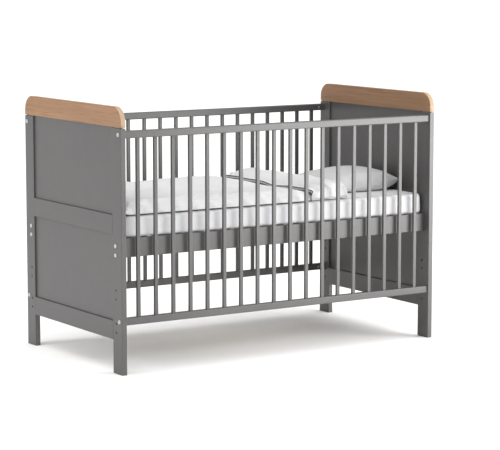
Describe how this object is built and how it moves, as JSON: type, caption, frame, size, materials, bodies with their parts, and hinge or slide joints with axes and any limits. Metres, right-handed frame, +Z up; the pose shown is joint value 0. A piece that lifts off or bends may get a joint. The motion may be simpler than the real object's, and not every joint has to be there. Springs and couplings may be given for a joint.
{
  "type": "baby crib",
  "caption": "Rectangular crib with panelled ends, oak-look cap rails, slatted sides, a bolted mattress base, fitted mattress, piped duvet and pillow.",
  "frame": {"origin": "on the floor, under the middle of the crib's bounding box", "axes": "+X from the foot end to the head end, +Y from the front side to the rear side, +Z up"},
  "size_m": [1.255, 0.672, 0.864],
  "materials": {
    "grey_paint": "satin grey lacquer over solid wood and fibreboard",
    "oak_cap": "oiled, straight grain along the cap",
    "plain_wood": "unfinished sanded wood",
    "beech_dowel": "fluted wood dowel",
    "bolt_white": "white coated steel",
    "zinc_nut": "zinc plated",
    "white_cotton": "woven cotton fitted sheet",
    "quilt_cotton": "woven cotton with dark grey piping",
    "pillow_cotton": "woven cotton"
  },
  "bodies": {
    "frame": {"barrel_nuts": "zinc_nut", "base_bolts": "bolt_white", "base_front_ledger": "plain_wood", "base_front_rail": "grey_paint", "base_rear_ledger": "plain_wood", "base_rear_rail": "grey_paint", "base_slat_01": "plain_wood", "base_slat_02": "plain_wood", "base_slat_03": "plain_wood", "base_slat_04": "plain_wood", "base_slat_05": "plain_wood", "base_slat_06": "plain_wood", "base_slat_07": "plain_wood", "base_slat_08": "plain_wood", "base_slat_09": "plain_wood", "base_slat_10": "plain_wood", "base_slat_11": "plain_wood", "dowels": "beech_dowel", "foot_bottom_rail": "grey_paint", "foot_cap": "oak_cap", "foot_front_post": "grey_paint", "foot_lower_panel": "grey_paint", "foot_mid_rail": "grey_paint", "foot_rear_post": "grey_paint", "foot_upper_panel": "grey_paint", "front_bottom_rail": "grey_paint", "front_slat_01": "grey_paint", "front_slat_02": "grey_paint", "front_slat_03": "grey_paint", "front_slat_04": "grey_paint", "front_slat_05": "grey_paint", "front_slat_06": "grey_paint", "front_slat_07": "grey_paint", "front_slat_08": "grey_paint", "front_slat_09": "grey_paint", "front_slat_10": "grey_paint", "front_slat_11": "grey_paint", "front_slat_12": "grey_paint", "front_slat_13": "grey_paint", "front_slat_14": "grey_paint", "front_slat_15": "grey_paint", "front_slat_16": "grey_paint", "front_slat_17": "grey_paint", "front_slat_18": "grey_paint", "front_top_rail": "grey_paint", "head_bottom_rail": "grey_paint", "head_cap": "oak_cap", "head_front_post": "grey_paint", "head_lower_panel": "grey_paint", "head_mid_rail": "grey_paint", "head_rear_post": "grey_paint", "head_upper_panel": "grey_paint", "rear_bottom_rail": "grey_paint", "rear_slats_foot_half": "grey_paint", "rear_slats_head_half": "grey_paint", "rear_top_rail": "grey_paint", "side_rail_bolts": "bolt_white"},
    "mattress": {"mattress": "white_cotton"},
    "duvet": {"duvet": "quilt_cotton"},
    "pillow": {"pillow": "pillow_cotton"}
  },
  "joints": [
    {"name": "mattress_lift", "type": "slide", "parent": "frame", "child": "mattress", "axis": [0, 0, 1], "range_m": [0, 0.45]},
    {"name": "duvet_lift", "type": "slide", "parent": "mattress", "child": "duvet", "axis": [0, 0, 1], "range_m": [0, 0.4]},
    {"name": "pillow_lift", "type": "slide", "parent": "mattress", "child": "pillow", "axis": [0, 0, 1], "range_m": [0, 0.4]}
  ]
}
